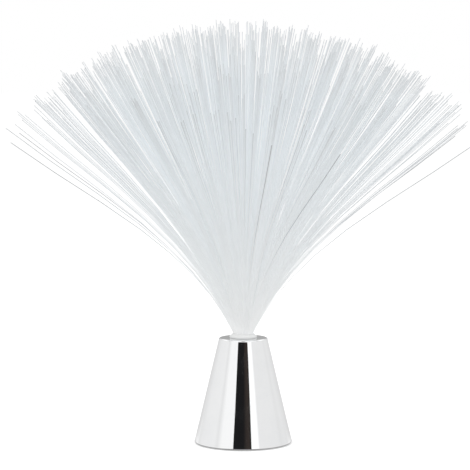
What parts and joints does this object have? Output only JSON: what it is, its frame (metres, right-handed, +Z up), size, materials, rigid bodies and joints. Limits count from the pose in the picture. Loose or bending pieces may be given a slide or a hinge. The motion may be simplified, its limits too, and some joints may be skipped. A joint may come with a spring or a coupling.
{
  "type": "fiber optic lamp",
  "caption": "Battery fiber optic lamp: a spray of clear light-carrying fibers that lifts out of a chrome cone-shaped base, with a slide switch and a hinged battery door underneath.",
  "frame": {"origin": "on the table, under the middle of the base, in the plane of the undersides of the feet", "axes": "+Z up along the cone's axis; the slide switch lies towards +X; the battery cells lie along Y, with the door's hinge at -Y"},
  "size_m": [0.3548, 0.374, 0.3248],
  "materials": {
    "chrome_plating": "polished",
    "black_plastic": "satin",
    "white_plastic": "satin",
    "clear_fiber": "gloss",
    "plated_steel": "satin",
    "foot_rubber": "matte",
    "cell_sleeve": "satin",
    "board_laminate": "satin",
    "led_epoxy": "polished",
    "resistor_coat": "satin",
    "door_foam": "matte",
    "wire_red": "satin",
    "wire_black": "satin"
  },
  "bodies": {
    "base": {"housing": "chrome_plating", "base_plate": "black_plastic", "foot_1": "foot_rubber", "foot_2": "foot_rubber", "foot_3": "foot_rubber", "foot_4": "foot_rubber", "cover_screw_1": "plated_steel", "cover_screw_2": "plated_steel", "cover_screw_3": "plated_steel", "battery_1": "cell_sleeve", "battery_2": "cell_sleeve", "battery_3": "cell_sleeve", "contact_minus": "plated_steel", "contact_bridge_rear": "plated_steel", "contact_bridge_front": "plated_steel", "contact_plus": "plated_steel", "battery_spring_1": "plated_steel", "battery_spring_2": "plated_steel", "battery_spring_3": "plated_steel", "hinge_pin": "plated_steel", "switch_body": "plated_steel", "switch_screw_1": "plated_steel", "switch_screw_2": "plated_steel", "fiber_socket": "white_plastic", "socket_screw_1": "plated_steel", "socket_screw_2": "plated_steel", "circuit_board": "board_laminate", "board_screw_1": "plated_steel", "board_screw_2": "plated_steel", "led_1": "led_epoxy", "led_2": "led_epoxy", "led_3": "led_epoxy", "led_reflector": "white_plastic", "control_chip": "black_plastic", "resistor": "resistor_coat", "wire_battery_minus": "wire_black", "wire_battery_plus": "wire_red", "wire_switched": "wire_red"},
    "switch": {"switch_lever": "black_plastic", "switch_knob": "black_plastic"},
    "door": {"battery_door": "black_plastic", "door_screw": "plated_steel", "door_pad": "door_foam"},
    "spray": {"ferrule": "white_plastic", "fiber_tuft_1": "clear_fiber", "fiber_tuft_2": "clear_fiber", "fiber_tuft_3": "clear_fiber", "fiber_tuft_4": "clear_fiber", "fiber_tuft_5": "clear_fiber", "fiber_tuft_6": "clear_fiber"}
  },
  "joints": [
    {"name": "switch_slide", "type": "slide", "parent": "base", "child": "switch", "axis": [0, 1, 0], "range_m": [0, 0.0025]},
    {"name": "battery_door_hinge", "type": "hinge", "parent": "base", "child": "door", "pos_m": [0, -0.0293, 0.0033], "axis": [-1, 0, 0], "range_deg": [0, 95]},
    {"name": "spray_lift", "type": "slide", "parent": "base", "child": "spray", "axis": [0, 0, 1], "range_m": [0, 0.034]}
  ]
}
